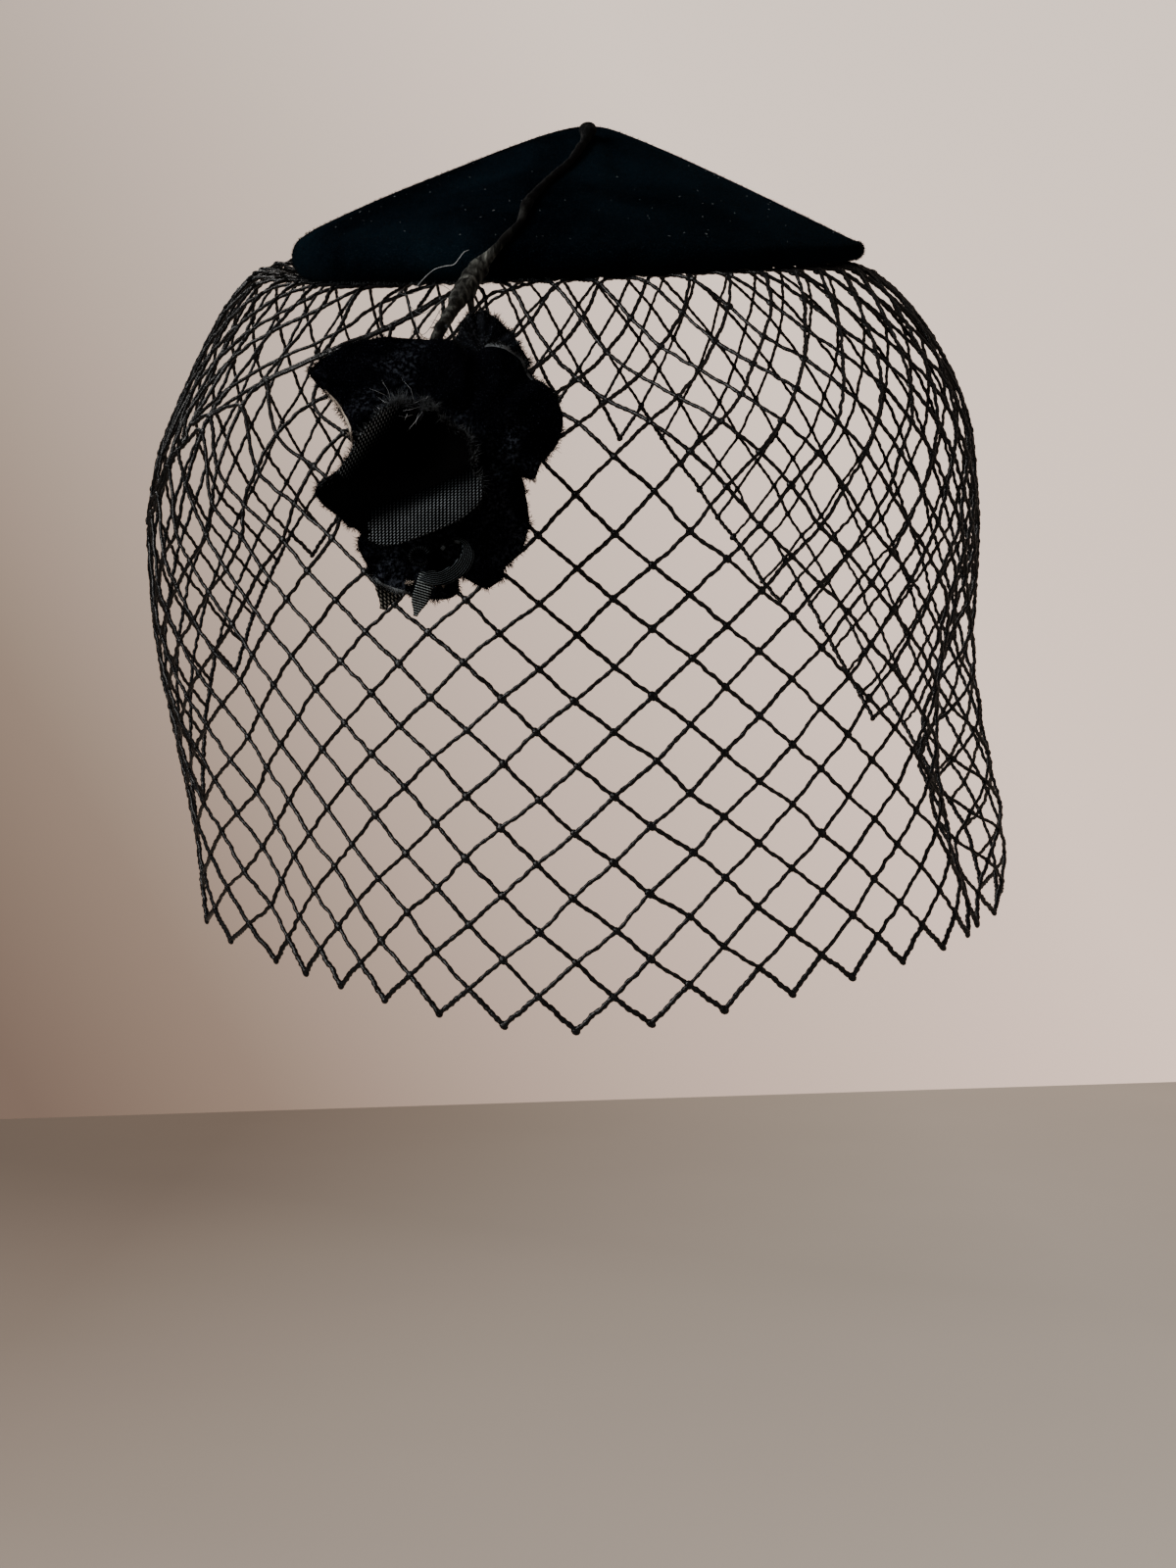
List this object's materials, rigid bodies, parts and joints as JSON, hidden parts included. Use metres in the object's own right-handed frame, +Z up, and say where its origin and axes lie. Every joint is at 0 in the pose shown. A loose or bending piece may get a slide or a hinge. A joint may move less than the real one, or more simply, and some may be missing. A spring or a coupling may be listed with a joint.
{
  "type": "veiled fascinator",
  "caption": "Shallow cone hat in black velvet, worn tilted over the brow, with a coarse net veil hanging from its rim and a cloth flower on a wire stem.",
  "frame": {"origin": "centre of the hat's rim plane, where the hat rests on the head", "axes": "+Z up as worn, -Y the way the wearer faces, +X to the viewer's right when the viewer faces the wearer"},
  "size_m": [0.2068, 0.2277, 0.2116],
  "materials": {
    "velvet": "deep black cotton velvet, dull, with a soft pale sheen at grazing angles",
    "net": "twisted black thread with small bright glints",
    "wrapped_wire": "wire wrapped in dull grey-brown crinkled tape",
    "woven_cloth": "plain-woven dark grey cloth, matt"
  },
  "bodies": {
    "root": {"crown": "velvet", "veil": "net", "stem": "wrapped_wire", "petal_right": "velvet", "petal_lower_right": "velvet", "petal_top": "velvet", "petal_upper_left": "velvet", "petal_lower": "velvet", "petal_left": "velvet", "petal_cup": "velvet", "ribbon_loop": "woven_cloth", "ribbon_tail": "woven_cloth", "backing_tab": "woven_cloth"}
  },
  "joints": []
}
